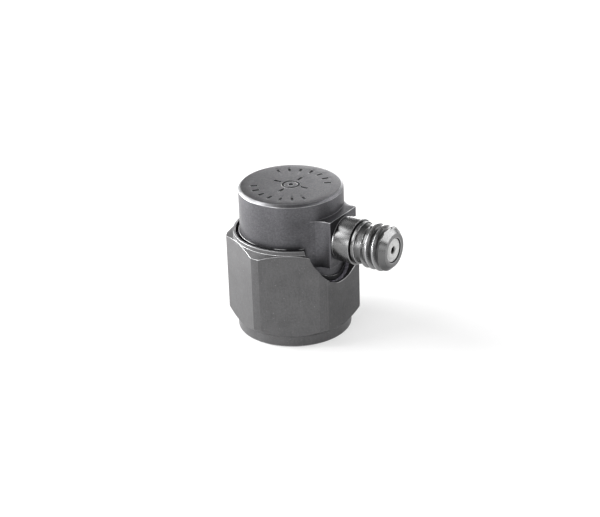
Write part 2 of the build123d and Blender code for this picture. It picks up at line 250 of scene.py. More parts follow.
class StageSettings(bpy.types.PropertyGroup):
    """Camera, floor and surround of the stage."""

    azimuth: angle("Azimuth", "Direction of the camera round the object", 34.867)
    elevation: angle("Elevation", "Height of the camera above the horizon", 25.772)
    distance: length("Distance", "Distance from the camera to its target", 173.692 * MM)
    target_height: length("Target height", "Height of the camera's target on the case's axis", 8.0 * MM)
    pan: angle("Pan", "Turn of the camera to the side of its target", -0.2443)
    tilt: angle("Tilt", "Turn of the camera above its target", -0.1702)
    roll: angle("Roll", "Turn of the camera about its own axis", -1.949)
    focal_pixels: bpy.props.FloatProperty(
        name="Focal length", description="Focal length in pixels of the photograph", default=1620.66
    )
    photo_pixels: bpy.props.FloatProperty(
        name="Photograph width", description="Width of the photograph in pixels", default=600.0
    )
    floor_half: length("Floor half", "Half of the floor's width", 6.0)
    floor_colour: colour("Floor", "Colour of the floor", (0.80, 0.80, 0.80))
    floor_shade: colour("Floor shade", "Share of the floor's own light in the picture", (0.60, 0.60, 0.60))
    floor_glow: share("Floor glow", "Light that lifts the floor by the object to white in the picture", 0.40)
    floor_far_glow: share("Far floor glow", "The same light far from the object", 0.82)
    glow_near: length("Glow near", "Distance at which the floor's light starts to change", 60.0 * MM)
    glow_far: length("Glow far", "Distance at which the floor's light has changed", 400.0 * MM)
    surround: share("Surround", "Strength of the even light from all round", 0.31)


# Surfaces worked out as grids of points


def soften(path, reach, steps=3):
    """Round the corners of a path.

    path holds rows of points by columns of the surface, as radius and height. Each corner is
    replaced by points of the quadratic curve that leaves one side `reach` before the corner
    and joins the next side `reach` after it, or at 0.45 of a shorter side. reach is one number
    or one for each corner. Returns the new path and, for each of its points, one on an outside
    edge, minus one in an inside corner and nought between.
    """
    before, corner, after = path[:-2], path[1:-1], path[2:]
    back, ahead = before - corner, after - corner
    back_length = np.linalg.norm(back, axis=2, keepdims=True)
    ahead_length = np.linalg.norm(ahead, axis=2, keepdims=True)
    back_unit = back / np.maximum(back_length, 1e-12)
    ahead_unit = ahead / np.maximum(ahead_length, 1e-12)
    start = corner + back_unit * np.minimum(reach, 0.45 * back_length)
    end = corner + ahead_unit * np.minimum(reach, 0.45 * ahead_length)
    turn = ahead_unit[..., 0] * back_unit[..., 1] - ahead_unit[..., 1] * back_unit[..., 0]
    bend = np.clip(turn / 0.5, -1.0, 1.0)
    t = np.linspace(0.0, 1.0, steps + 1)[None, :, None, None]
    curve = (1 - t) ** 2 * start[:, None] + 2 * t * (1 - t) * corner[:, None] + t**2 * end[:, None]
    edge = 4 * t[..., 0] * (1 - t[..., 0]) * bend[:, None]
    rows = len(corner) * (steps + 1)
    curve = curve.reshape(rows, path.shape[1], 2)
    edge = edge.reshape(rows, path.shape[1])
    ends = np.zeros((1, path.shape[1]))
    return np.concatenate([path[:1], curve, path[-1:]]), np.concatenate([ends, edge, ends])


def stack(rows, columns):
    """A path from rows of (radius, height), where each is one number or one for each column."""
    path = np.empty((len(rows), columns, 2))
    for i, (radius, height) in enumerate(rows):
        path[i, :, 0] = radius
        path[i, :, 1] = height
    return path


def upright(path, angles):
    """Carry a path of radius and height round the Z axis: x = r cos a, y = r sin a, z = h."""
    radius, height = path[..., 0], path[..., 1]
    return np.stack([radius * np.cos(angles), radius * np.sin(angles), height], axis=-1)


def sideways(path, angles):
    """Carry a path of radius and station round the connector's axis, which runs along X."""
    radius, station = path[..., 0], path[..., 1]
    return np.stack([station, radius * np.cos(angles), AXIS_HEIGHT + radius * np.sin(angles)], axis=-1)


def closed_surface(name, points, edge, sharp=28.0, meets=False):
    """An object from a grid of points whose columns go round, with its seams and poles merged.

    points is rows by columns by three. The last column joins the first, or lies on it where
    meets is set, as a helix needs, whose rows shift by a pitch in a turn. edge is kept on the
    vertices as the attribute edge: above nought is bare metal, in places painted pale as a
    highlight, and below it residue, in places painted shade. Faces that meet at more than
    sharp degrees are shaded apart.
    """
    rows, columns = points.shape[:2]
    index = np.arange(rows * columns).reshape(rows, columns)
    beside = np.roll(index, -1, axis=1)
    quads = np.stack([index[:-1], beside[:-1], beside[1:], index[1:]], axis=-1)
    quads = (quads[:, :-1] if meets else quads).reshape(-1, 4)
    mesh = bpy.data.meshes.new(name)
    mesh.from_pydata(points.reshape(-1, 3).tolist(), [], quads.tolist())
    layer = mesh.attributes.new("edge", "FLOAT", "POINT")
    layer.data.foreach_set("value", edge.astype(np.float32).ravel())
    work = bmesh.new()
    work.from_mesh(mesh)
    bmesh.ops.remove_doubles(work, verts=work.verts, dist=MERGE_DISTANCE)
    bmesh.ops.dissolve_degenerate(work, edges=work.edges, dist=MERGE_DISTANCE)
    bmesh.ops.recalc_face_normals(work, faces=work.faces)
    work.to_mesh(mesh)
    work.free()
    mesh.shade_smooth()
    mesh.set_sharp_from_angle(angle=math.radians(sharp))
    return new_object(name, mesh)


def new_object(name, data):
    """An object with its data, in the scene."""
    made = bpy.data.objects.new(name, data)
    bpy.context.scene.collection.objects.link(made)
    return made


def cutout_at(angles, radius, cut_radius, centre):
    """Height at which the round cut-out on the connector's side meets a given radius.

    Over a point `across` to the side, the cut-out's lower half lies at the height of its
    centre less the root of cut_radius squared less across squared. Elsewhere it is infinite.
    """
    across = radius * np.sin(angles)
    inside = (np.abs(across) < cut_radius) & (np.cos(angles) > 0)
    drop = np.sqrt(np.where(inside, cut_radius**2 - across**2, 0.0))
    return np.where(inside, centre - drop, np.inf)


def round_about(angles, stops):
    """A value for each column, in straight steps between stops of (degrees, value) round a piece."""
    degrees, values = zip(*stops)
    return np.interp(np.degrees(angles), degrees, values, period=360.0)


def ramp(value, run):
    """A value over a run, from nought to one."""
    return np.clip(value / run, 0.0, 1.0)


def eased(part):
    """A part from nought to one that starts and ends level: part squared times three less twice the part."""
    return part * part * (3 - 2 * part)


def hexagon_angles(half_flat, cutout_half):
    """Columns round the shell: each flat's edges and steps between them, and close ones at the cut-out."""
    flat = np.linspace(-half_flat, half_flat, 33)
    band = np.linspace(half_flat, SIXTH_TURN - half_flat, 7)
    turns = SIXTH_TURN * np.arange(6)[:, None]
    close = np.linspace(-cutout_half, cutout_half, 151)
    every = np.concatenate([(turns + flat).ravel(), (turns + band).ravel(), close])
    return np.unique(np.round(every % math.tau, 6))


def thread_wave(turns, pitch, depth):
    """Depth below the crest of a 60 degree thread, `turns` pitches along from a crest.

    The flanks fall by tan 60 degrees times the distance past the flat crest, which is a sixth
    of the pitch wide, down to the root at the full depth.
    """
    from_crest = np.abs(turns - np.round(turns)) * pitch
    return np.clip(math.sqrt(3.0) * (from_crest - pitch / 12), 0.0, depth)


def stud_thread(hole, angles, pitch):
    """Rows of the thread in the stud hole, from its inner end to the countersink.

    Its depth is thread_wave of the height in pitches less the part of a turn gone round, and
    it grows in over the first pitch.
    """
    top = hole.depth - THREAD_RUN_OUT
    rows = []
    for height in np.linspace(top, hole.countersink, 44):
        depth = thread_wave(height / pitch - angles / math.tau, pitch, hole.thread_depth)
        rows.append((hole.radius + (hole.thread_depth - depth) * ramp(top - height, pitch), height))
    return rows


def shell_radii(shell):
    """Radii of the foot, the rim and the bore, which all stand in from the flats."""
    flat_radius = shell.across_flats / 2
    return flat_radius - shell.foot_inset, flat_radius - shell.rim_inset, flat_radius - shell.wall


def shell_path(shell, hole, angles, pitch):
    """Path of the mounting shell for each column, from the drill point out and over the rim to its floor.

    The hexagon's radius is its flats' over the cosine of the angle from the middle of a flat,
    and at most the turned corners'. A cone's height changes by the tangent of its slope times
    the distance out from the rim. The wall ends at the rim, or where the round cut-out meets
    the wall or the upper cone. Halving finds the radius at which it meets the cone.
    """
    columns = len(angles)
    foot_radius, rim_radius, bore_radius = shell_radii(shell)
    rim_bottom = shell.height - shell.rim_height
    from_flat = np.abs((angles + SIXTH_TURN / 2) % SIXTH_TURN - SIXTH_TURN / 2)
    outer = np.minimum(shell.across_flats / 2 / np.cos(from_flat), shell.across_corners / 2)
    lower = shell.foot_height + (outer - rim_radius) * math.tan(shell.lower_cone)

    def cone_at(radius):
        return rim_bottom - (radius - rim_radius) * math.tan(shell.upper_cone)

    def cut_at(radius):
        return cutout_at(angles, radius, shell.cutout_radius, AXIS_HEIGHT - shell.cutout_drop)

    upper = cone_at(outer)
    on_wall = cut_at(outer) < upper
    on_cone = ~on_wall & (cut_at(rim_radius) < rim_bottom)
    low, high = rim_radius * np.ones(columns), outer.copy()
    for _ in range(24):
        middle = (low + high) / 2
        below = cone_at(middle) < cut_at(middle)
        low = np.where(below, low, middle)
        high = np.where(below, middle, high)
    cone_radius = (low + high) / 2

    def by_place(wall, cone, rim):
        return np.where(on_wall, wall, np.where(on_cone, cone, rim))

    edge_radius = by_place(outer, cone_radius, rim_radius)
    edge_height = by_place(cut_at(outer), cone_at(cone_radius), np.minimum(cut_at(rim_radius), shell.height))
    shoulder = np.where(on_wall, lower + 0.7 * (edge_height - lower), upper)
    cone_top_radius = by_place(outer, (outer + edge_radius) / 2, rim_radius)
    cone_top = by_place(lower + 0.85 * (edge_height - lower), (upper + edge_height) / 2, rim_bottom)

    def across_wall(part):
        radius = edge_radius + (bore_radius - edge_radius) * part
        return radius, np.minimum(cut_at(radius), shell.height)

    thread = stud_thread(hole, angles, pitch)
    start = stack([(0.0, hole.depth + hole.point), (hole.radius, hole.depth)] + thread, columns)
    corners = stack(
        [
            thread[-1],
            (hole.radius + hole.thread_depth + 0.05 * MM, 0.0),
            (foot_radius - shell.foot_edge, 0.0),
            (foot_radius, shell.foot_edge),
            (foot_radius, shell.foot_height),
            (rim_radius, shell.foot_height),
            (outer, lower),
            (outer, shoulder),
            (cone_top_radius, cone_top),
            (edge_radius, edge_height),
            across_wall(0.35),
            across_wall(0.7),
            across_wall(1.0),
            (bore_radius, shell.floor_height),
            (0.0, shell.floor_height),
        ],
        columns,
    )
    cone_start, top_outside, top_inside = 5, 9, 12
    reach = np.full(corners.shape[:2], shell.edge_round)
    reach[cone_start] = 0.8 * shell.edge_round
    reach[[top_outside, top_inside]] = np.where(
        edge_height > shell.height - EVEN, shell.rim_round, shell.edge_round
    )
    blunt = round_about(angles, CUTOUT_BLUNTNESS) * shell.edge_round
    reach[top_outside] = np.where(on_wall, blunt, reach[top_outside])
    rest, edge = soften(corners, reach[1:-1, :, None])
    edge = shell_wear_and_light(shell, angles, rest, edge)
    return np.concatenate([start, rest]), np.concatenate([np.zeros(start.shape[:2]), edge])


def shell_wear_and_light(shell, angles, path, edge):
    """Wear and painted light of the shell from its path and the edges that soften gives.

    Outside edges are rubbed bare and painted pale as highlights as SHELL_EDGE_WEAR_AND_HIGHLIGHT
    and SHELL_RIM_WEAR_AND_HIGHLIGHT say, and hardly by the lower cone. The seam over the foot is
    dark. The low left side gets a little painted light and the face towards the cut-out painted
    shade, as SHELL_LOW_SIDE_LIGHT and SHELL_FACE_SHADE say.
    """
    foot_radius, rim_radius, bore_radius = shell_radii(shell)
    rim_bottom = shell.height - shell.rim_height
    near = 2 * shell.edge_round
    out, height = path[..., 0], path[..., 1]
    by_rim = (np.abs(height - rim_bottom) < near) & (np.abs(out - rim_radius) < near)
    edge = np.where(by_rim, np.abs(edge), edge)
    # Bare edges, painted pale as highlights with a strength that changes round the shell
    edge = np.where(out > bore_radius + 0.05 * MM, round_about(angles, SHELL_EDGE_WEAR_AND_HIGHLIGHT) * edge, edge)
    on_rim = (height > shell.height - 0.6 * shell.rim_round) & (out > bore_radius - EVEN)
    # The rim's top is painted pale as a highlight
    edge = np.where(on_rim, round_about(angles, SHELL_RIM_WEAR_AND_HIGHLIGHT), edge)
    outside = (out > foot_radius - EVEN) & (height > shell.foot_edge * 2)
    edge = np.where(outside & (height < shell.foot_height + 0.9 * MM), 0.1 * edge, edge)
    edge = np.where(outside & (height < shell.foot_height + near), -12.0 * np.abs(edge), edge)
    on_foot = height < shell.foot_height - 0.01 * MM
    # Painted light: the low left side is made paler, the foot more than the cone
    low_side_light = np.where(on_foot, 0.16, 0.08) * round_about(angles, SHELL_LOW_SIDE_LIGHT)
    on_low_side = (out > foot_radius - 0.1 * MM) & (height < shell.foot_height + 1.0 * MM)
    edge = np.where(on_low_side, edge + low_side_light, edge)
    # Painted shade on the face towards the cut-out
    on_face = (out > foot_radius + 0.1 * MM) & (height < rim_bottom - 0.05 * MM) & ~on_foot
    return np.where(on_face, edge - round_about(angles, SHELL_FACE_SHADE), edge)


def fillet_angles(case):
    """Where a block's side ends in its fillet, and where the fillet meets the case, as angles.

    The fillet's circle touches the block's side and the case. Its centre stands its own radius
    beyond the side, and the sum of both radii from the case's axis.
    """
    reach = case.radius + case.block_fillet
    beyond = case.block_width / 2 + case.block_fillet
    on_case = math.asin(beyond / reach)
    on_side = math.atan(case.block_width / 2 / (reach * math.cos(on_case)))
    return on_side, on_case


def mark_angles(case):
    """The ticks and the bars on the cap, each as (middles, half of a stroke's angle, start, end)."""
    spread = np.radians(np.arange(-3, 4) * TICK_DEGREES)
    ticks = np.concatenate([math.radians(90.0) + spread, math.radians(270.0) + spread])
    bars = np.radians([0.0, 90.0, 180.0, 270.0])
    tick_half = case.mark_width / (case.tick_inner + case.tick_outer)
    bar_half = case.mark_width / (case.bar_inner + case.bar_outer)
    return (
        (ticks, tick_half, case.tick_inner, case.tick_outer),
        (bars, bar_half, case.bar_inner, case.bar_outer),
    )


def case_angles(case):
    """Columns round the case: the block's front, sides and fillets, the marks, and even steps elsewhere."""
    corner = math.radians(0.35)
    step = math.radians(0.12)
    half_front = math.atan(case.block_width / 2 / CASE_HIGH.x)
    on_side, on_case = fillet_angles(case)
    front = np.linspace(-half_front + corner, half_front - corner, 25)
    side = np.linspace(half_front + corner, on_side, 3)
    fillet = np.linspace(on_side, on_case, 15)
    rest = np.linspace(on_case, math.tau - on_case, 130)
    strokes = [
        (middles[:, None] + np.array([-half - step, -half, half, half + step])).ravel()
        for middles, half, _, _ in mark_angles(case)
    ]
    every = np.concatenate([front, side, -side, fillet, -fillet, rest] + strokes)
    return np.unique(np.round(every % math.tau, 6))


def block_radius(case, angles):
    """Distance from the axis to the block's front, side or fillet, and elsewhere to the case.

    The front is its distance over the cosine of the angle and the side is half the width over
    the sine. The fillet is the near crossing of a line at that angle with the fillet's circle.
    """
    around = (angles + math.pi) % math.tau - math.pi
    across = np.abs(around)
    on_side, on_case = fillet_angles(case)
    to_face = CASE_HIGH.x / np.maximum(np.cos(around), 0.1)
    to_side = case.block_width / 2 / np.maximum(np.sin(across), 1e-6)
    reach = case.radius + case.block_fillet
    along = reach * np.cos(across - on_case)
    off = reach * np.sin(across - on_case)
    to_fillet = along - np.sqrt(np.maximum(case.block_fillet**2 - off**2, 0.0))
    out = np.where(across < on_side, np.minimum(to_face, to_side), to_fillet)
    return np.where(across < on_case, out, case.radius)


def case_path(case, angles):
    """Path of the case, from its ceiling down the cavity, out, up the block and over the top.

    The marks in the cap are steps in its height: a ring and a dot at the middle, and the ticks
    and bars of mark_angles, which take up their own columns between two radii.
    """
    radius = case.radius
    cavity = radius - case.wall
    ledge_inside = cavity - case.ledge_width
    ceiling = CASE_HIGH.z - case.cap_thickness
    ledge = ceiling - case.ledge_drop
    block_low = AXIS_HEIGHT - case.block_height / 2
    block_high = AXIS_HEIGHT + case.block_height / 2
    block = block_radius(case, angles)
    top = CASE_HIGH.z
    low = top - case.mark_depth
    rows = [
        (0.0, ceiling),
        (ledge_inside, ceiling),
        (ledge_inside, ledge),
        (cavity, ledge),
        (cavity, CASE_LOW.z),
        (radius, CASE_LOW.z),
        (radius, block_low),
        (block, block_low),
        (block, block_high),
        (radius, block_high),
        (radius, top - case.cap_chamfer),
        (radius - case.cap_chamfer, top),
    ]
    for middles, half, start, end in mark_angles(case):
        off_middle = np.abs((angles[:, None] - middles + math.pi) % math.tau - math.pi).min(axis=1)
        floor = np.where(off_middle < half * 1.01, low, top)
        rows += [(end, top), (end, floor), (start, floor), (start, top)]
    ring_out = case.mark_ring + case.mark_width / 2
    ring_in = case.mark_ring - case.mark_width / 2
    dot = case.mark_width * 1.1
    rows += [(ring_out, top), (ring_out, low), (ring_in, low), (ring_in, top)]
    rows += [(dot, top), (dot, low), (0.0, low)]
    path, edge = soften(stack(rows, len(angles)), case.edge_round)
    return path, case_wear_and_light(case, angles, path, edge)


def case_wear_and_light(case, angles, path, edge):
    """Wear and painted light of the case from its path and the edges that soften gives.

    The marks are dark. The cap's chamfer is rubbed bare and painted pale as a highlight, as
    CAP_CHAMFER_WEAR_AND_HIGHLIGHT says, and the inside corner over the block gets a faint painted
    glint. Painted shade lies on the wall as BESIDE_BLOCK_SHADE says.
    """
    top = CASE_HIGH.z
    low = top - case.mark_depth
    block_low = AXIS_HEIGHT - case.block_height / 2
    block_high = AXIS_HEIGHT + case.block_height / 2
    out, height = path[..., 0], path[..., 1]
    engraved = (height > low - EVEN) & (height < top - 0.5 * case.mark_depth)
    engraved &= out < case.radius - 2 * case.cap_chamfer
    over_block = (np.abs(height - block_high) < 2 * case.edge_round) & (edge < 0)
    edge = np.where(engraved, -1.0, edge)
    on_chamfer = (height > top - case.cap_chamfer - EVEN) & (out > case.radius - case.cap_chamfer - EVEN)
    # The chamfer is rubbed bare and painted pale as a highlight, most at the left
    rubbed_and_lit = round_about(angles, CAP_CHAMFER_WEAR_AND_HIGHLIGHT)
    edge = np.where(on_chamfer, np.maximum(edge * 2.2 * rubbed_and_lit, rubbed_and_lit), edge)
    # Painted glint: the inside corner over the block is made faintly pale
    edge = np.where(over_block, -0.35 * edge, edge)
    # Painted shade on the wall beside the block
    on_wall = (out > case.radius - 0.02 * MM) & (out < case.radius + 0.1 * MM)
    on_wall &= (height > block_low - 0.1 * MM) & (height < block_high + 0.1 * MM)
    return np.where(on_wall, edge - round_about(angles, BESIDE_BLOCK_SHADE), edge)


def connector_back(size, angles):
    """The connector from its inner end to the thread, with its wear and painted light, and its last (radius,
    station).

    A weld bead swells at the root of the neck. The relief is a row of low rings: every second
    station lies RING_DEPTH deeper.
    """
    block_face = CASE_HIGH.x
    bead = block_face + size.root_bead
    neck_end = block_face + size.neck_length
    groove_end = neck_end + size.groove_width
    collar_end = groove_end + size.collar_length
    relief_start = collar_end + 0.06 * MM
    ring_stations = np.arange(
        relief_start + 0.03 * MM, collar_end + size.relief_length, size.relief_rings / 2
    )
    rings = [
        (size.relief_radius - (RING_DEPTH if i % 2 else 0.0), station)
        for i, station in enumerate(ring_stations)
    ]
    rows = [
        (size.bore_radius, CONNECTOR_LOW.x),
        (size.spigot_radius, CONNECTOR_LOW.x),
        (size.spigot_radius, block_face),
        (size.neck_radius - size.root_dip, block_face),
        (size.neck_radius - 0.2 * size.root_dip, bead - 0.5 * size.root_bead),
        (size.neck_radius - size.root_dip, bead),
        (size.neck_radius, bead + 0.4 * size.root_bead),
        (size.neck_radius, neck_end),
        (size.groove_radius, neck_end),
        (size.groove_radius, groove_end),
        (size.collar_radius, groove_end),
        (size.collar_radius, collar_end),
        (size.relief_radius, relief_start),
    ]
    path, edge = soften(stack(rows + rings, len(angles)), size.edge_round)
    out, station = path[..., 0], path[..., 1]
    # Painted shade in the groove beside the neck
    in_groove = (station > neck_end - 0.01 * MM) & (station < groove_end + 0.01 * MM)
    edge = np.where(in_groove & (out < size.collar_radius - 0.03 * MM), -1.0, edge)
    # Painted shade on the relief, deep in its low rings and light on the rest
    low_ring = out < size.relief_radius - 0.015 * MM
    edge = np.where(station > relief_start + 0.02 * MM, np.where(low_ring, -0.8, -0.25), edge)
    # Painted shade on the top of the collar and the relief
    top_shade = edge - round_about(angles, CONNECTOR_TOP_SHADE)
    edge = np.where(station > groove_end + 0.02 * MM, top_shade, edge)
    # Painted highlight on the upper side of the weld bead, and faint painted shade on its lower side
    on_bead = (station > block_face + 0.01 * MM) & (station < bead)
    edge = np.where(on_bead, 0.9 * np.clip(2.5 * np.sin(angles) + 0.4, -0.3, 1.0), edge)
    return path, edge, rings[-1]


def connector_thread(size, angles, thread_start, low_radius, low_station):
    """The connector's thread, with its bare crests, painted light on its flanks, and painted shade in its
    roots and on the tip's cone.

    The rows climb with the helix, one pitch in a turn, so that a row stays on its crest or its
    flank and meets the row one pitch on at the seam. The radius is the crest's less
    thread_wave. It stays under the crests' limit, which rises from the relief over the first
    part of a turn, and under the tip's cone, and over the valleys' floor, which sinks to the
    root over the first part and rises to the cone at the end.
    """
    tip = CONNECTOR_HIGH.x
    pitch = size.thread_pitch
    thread_end = tip - size.tip_chamfer
    steps = np.array([0.0, 0.06, 0.09, 0.16, 0.25, 0.34, 0.40, 0.43])
    steps = np.concatenate([steps, [0.5, 0.57, 0.60, 0.66, 0.75, 0.84, 0.91, 0.94]])
    low_turn = math.floor((low_station - size.crest_station) / pitch) - 1
    high_turn = math.ceil((tip - size.crest_station) / pitch) + 1
    turns = (np.arange(low_turn, high_turn)[:, None] + steps).ravel()
    climb = (angles - math.pi) / math.tau
    along = size.crest_station + pitch * (turns[:, None] + climb[None, :])
    below_crest = thread_wave(np.repeat(turns[:, None], len(angles), axis=1), pitch, size.thread_depth)
    station = np.clip(along, low_station, tip)
    rise = ramp(station - thread_start - 0.04 * MM, 0.26 * MM)
    deep = ramp(station - size.crest_station + 0.20 * MM, 0.30 * MM)
    fade = ramp(station - thread_end + 0.02 * MM, 0.16 * MM)
    crest_limit = low_radius + (size.thread_radius - low_radius) * eased(rise)
    cone_limit = size.thread_radius - np.maximum(station - thread_end, 0.0)
    root = size.thread_radius - size.thread_depth
    floor_limit = np.minimum(low_radius - (low_radius - root) * deep, cone_limit)
    floor_limit = floor_limit + (cone_limit - floor_limit) * eased(fade)
    radius = np.clip(size.thread_radius - below_crest, floor_limit, np.minimum(crest_limit, cone_limit))
    radius = np.where(along <= low_station, low_radius, radius)
    radius = np.where(along >= tip, size.thread_radius - size.tip_chamfer, radius)

    part_down = (size.thread_radius - radius) / size.thread_depth
    crest_edge = 0.6 * np.clip(1.0 - below_crest / (0.10 * MM), 0.0, 1.0) * rise
    crest_edge = crest_edge * (radius < cone_limit + 1e-6)
    # Painted light on the thread's flanks
    flank_light = 0.22 * ramp(0.85 - part_down, 0.15) * rise * round_about(angles, THREAD_FLANK_LIGHT)
    # Painted shade in the thread's roots
    painted_shade = np.clip(part_down * 3.0 - 2.0, 0.0, 1.2) * round_about(angles, THREAD_ROOT_SHADE) * deep
    edge = np.maximum(crest_edge, flank_light) - painted_shade
    # Painted shade on the tip's cone
    on_cone = (radius > cone_limit - 0.005 * MM) & (station > thread_end)
    return np.stack([radius, station], axis=-1), np.where(on_cone, -round_about(angles, CONE_SHADE), edge)


def connector_front(size, columns):
    """The connector's end ring and its bore back to the inner end, with painted shade in the mouth."""
    tip = CONNECTOR_HIGH.x
    rows = [
        (size.thread_radius - size.tip_chamfer, tip),
        (size.bore_radius + size.mouth_bevel, tip),
        (size.bore_radius, tip - size.mouth_bevel),
        (size.bore_radius, CONNECTOR_LOW.x),
    ]
    path, edge = soften(stack(rows, columns), size.edge_round)
    # Painted shade on the bore behind the mouth's bevel
    in_mouth = (path[..., 0] < size.bore_radius + 0.6 * size.mouth_bevel) & (path[..., 1] < tip - 0.02 * MM)
    return path, np.where(in_mouth, -1.0, edge)


def connector_path(size, angles):
    """Path of the connector's shell for each column, with its wear and painted light."""
    thread_start = CASE_HIGH.x + size.neck_length + size.groove_width + size.collar_length
    thread_start += size.relief_length
    back, back_edge, (low_radius, low_station) = connector_back(size, angles)
    thread, thread_edge = connector_thread(size, angles, thread_start, low_radius, low_station)
    front, front_edge = connector_front(size, len(angles))
    return np.concatenate([back, thread, front]), np.concatenate([back_edge, thread_edge, front_edge])


def ring_rows(inner, outer, low, top_at, rows_across):
    """Rows of a ring: up its outside, across its top, which is a height for each radius, and down."""
    across = [outer + (inner - outer) * part for part in np.linspace(0.0, 1.0, rows_across)]
    return [(inner, low), (outer, low)] + [(radius, top_at(radius)) for radius in across] + [(inner, low)]


def sleeve_path(shell, case, angles):
    """Path of the film sleeve, whose top is its full height or the round cut-out where that is lower."""

    def top_at(radius):
        cut = cutout_at(angles, radius, case.sleeve_cutout, AXIS_HEIGHT - shell.cutout_drop)
        return np.minimum(cut, SLEEVE_HIGH.z)

    rows = ring_rows(case.radius + FIT_GAP, SLEEVE_HIGH.y, SLEEVE_LOW.z, top_at, 2)
    path, edge = soften(stack(rows, len(angles)), SLEEVE_ROUND)
    near_top = path[..., 1] > SLEEVE_HIGH.z - 4.2 * MM
    # Painted glint: the film's rounded top edge is made pale at some angles round the sleeve
    return path, np.where(near_top, np.abs(edge), 0.0) * round_about(angles, FILM_EDGE_GLINT)


def potting_path(shell, angles):
    """Path of the resin, whose top is its level or the round cut-out where that is lower.

    The level sags in a parabola across the gap, a tenth of a millimetre at its middle, and
    waves by the sines of nine and of 23 times the angle, a fiftieth of a millimetre each.
    """
    inner = SLEEVE_HIGH.y + FIT_GAP
    outer = POTTING_HIGH.y
    waves = 0.02 * MM * (np.sin(9 * angles) + np.sin(23 * angles + 1.0))

    def top_at(radius):
        part = (radius - inner) / (outer - inner)
        sag = 0.10 * MM * 4 * part * (1 - part)
        level = POTTING_HIGH.z - 0.06 * MM - sag + waves
        cut = cutout_at(angles, radius, shell.cutout_radius, AXIS_HEIGHT - shell.cutout_drop)
        return np.minimum(cut + 0.4 * waves, level)

    return stack(ring_rows(inner, outer, POTTING_LOW.z, top_at, 6), len(angles))


def insulator_path(angles):
    """Path of the insulator, a bevelled ring, with painted shade round its border and in its bevel."""
    inner = (CONTACT_HIGH.z - CONTACT_LOW.z) / 2 + FIT_GAP
    outer = (INSULATOR_HIGH.z - INSULATOR_LOW.z) / 2
    rows = [
        (inner, INSULATOR_LOW.x),
        (outer, INSULATOR_LOW.x),
        (outer, INSULATOR_HIGH.x - INSULATOR_BEVEL),
        (outer - INSULATOR_BEVEL, INSULATOR_HIGH.x),
        (outer * 0.8, INSULATOR_HIGH.x),
        (inner, INSULATOR_HIGH.x),
        (inner, INSULATOR_LOW.x),
    ]
    path, edge = soften(stack(rows, len(angles)), INSULATOR_ROUND)
    out = path[..., 0]
    # Painted shade round the insulator's border, strongest towards -Y, and full in its bevel
    edge = np.where(out > outer * 0.75, -round_about(angles, INSULATOR_SHADE), 0.0)
    return path, np.where(out > outer - 0.6 * INSULATOR_BEVEL, -1.0, edge)


# Materials


class Nodes:
    """Short calls for building one node tree."""

    def __init__(self, tree):
        self.tree = tree

    def add(self, kind, **values):
        node = self.tree.nodes.new(kind)
        for name, value in values.items():
            setattr(node, name, value)
        return node

    def link(self, source, target):
        self.tree.links.new(source, target)

    def feed(self, node, inputs):
        """Set or link a node's inputs, given by name or number."""
        for name, value in inputs.items():
            socket = node.inputs[name]
            if isinstance(value, bpy.types.NodeSocket):
                self.link(value, socket)
            else:
                socket.default_value = value
        return node

    def place(self):
        """The object's own coordinates."""
        return self.add("ShaderNodeTexCoord").outputs["Object"]

    def axes(self, place):
        """The three parts of a place."""
        return self.feed(self.add("ShaderNodeSeparateXYZ"), {0: place}).outputs

    def math(self, operation, first, second, clamp=False):
        node = self.add("ShaderNodeMath", operation=operation, use_clamp=clamp)
        return self.feed(node, {0: first, 1: second}).outputs[0]

    def remap(self, value, low, high, to_low=0.0, to_high=1.0):
        values = {"Value": value, "From Min": low, "From Max": high, "To Min": to_low, "To Max": to_high}
        return self.feed(self.add("ShaderNodeMapRange"), values).outputs["Result"]

    def mix(self, factor, first, second):
        node = self.add("ShaderNodeMix", data_type="RGBA")
        return self.feed(node, {0: factor, 6: first, 7: second}).outputs[2]

    def noise(self, place, scale, detail, roughness):
        values = {"Vector": place, "Scale": scale, "Detail": detail, "Roughness": roughness}
        return self.feed(self.add("ShaderNodeTexNoise"), values).outputs["Fac"]

    def mottled(self, noise, first, second):
        """Two colours mixed over the middle of a noise."""
        return self.mix(self.remap(noise, 0.3, 0.7), first, second)

    def relief(self, strength, distance, height):
        """A normal bumped by a height."""
        values = {"Strength": strength, "Distance": distance, "Height": height}
        return self.feed(self.add("ShaderNodeBump"), values).outputs["Normal"]

    def group(self, tree, values):
        """The outputs of a node group with its own values."""
        return self.feed(self.add("ShaderNodeGroup", node_tree=tree), values).outputs


def new_group(name, inputs, outputs):
    """A node group from its inputs with their defaults and its outputs: its helper and both ends."""
    tree = bpy.data.node_groups.new(name, "ShaderNodeTree")
    for socket, default in inputs.items():
        kind = "NodeSocketVector" if isinstance(default, tuple) else "NodeSocketFloat"
        tree.interface.new_socket(name=socket, in_out="INPUT", socket_type=kind).default_value = default
    for socket in outputs:
        tree.interface.new_socket(name=socket, in_out="OUTPUT", socket_type="NodeSocketFloat")
    n = Nodes(tree)
    return n, n.add("NodeGroupInput").outputs, n.add("NodeGroupOutput").inputs


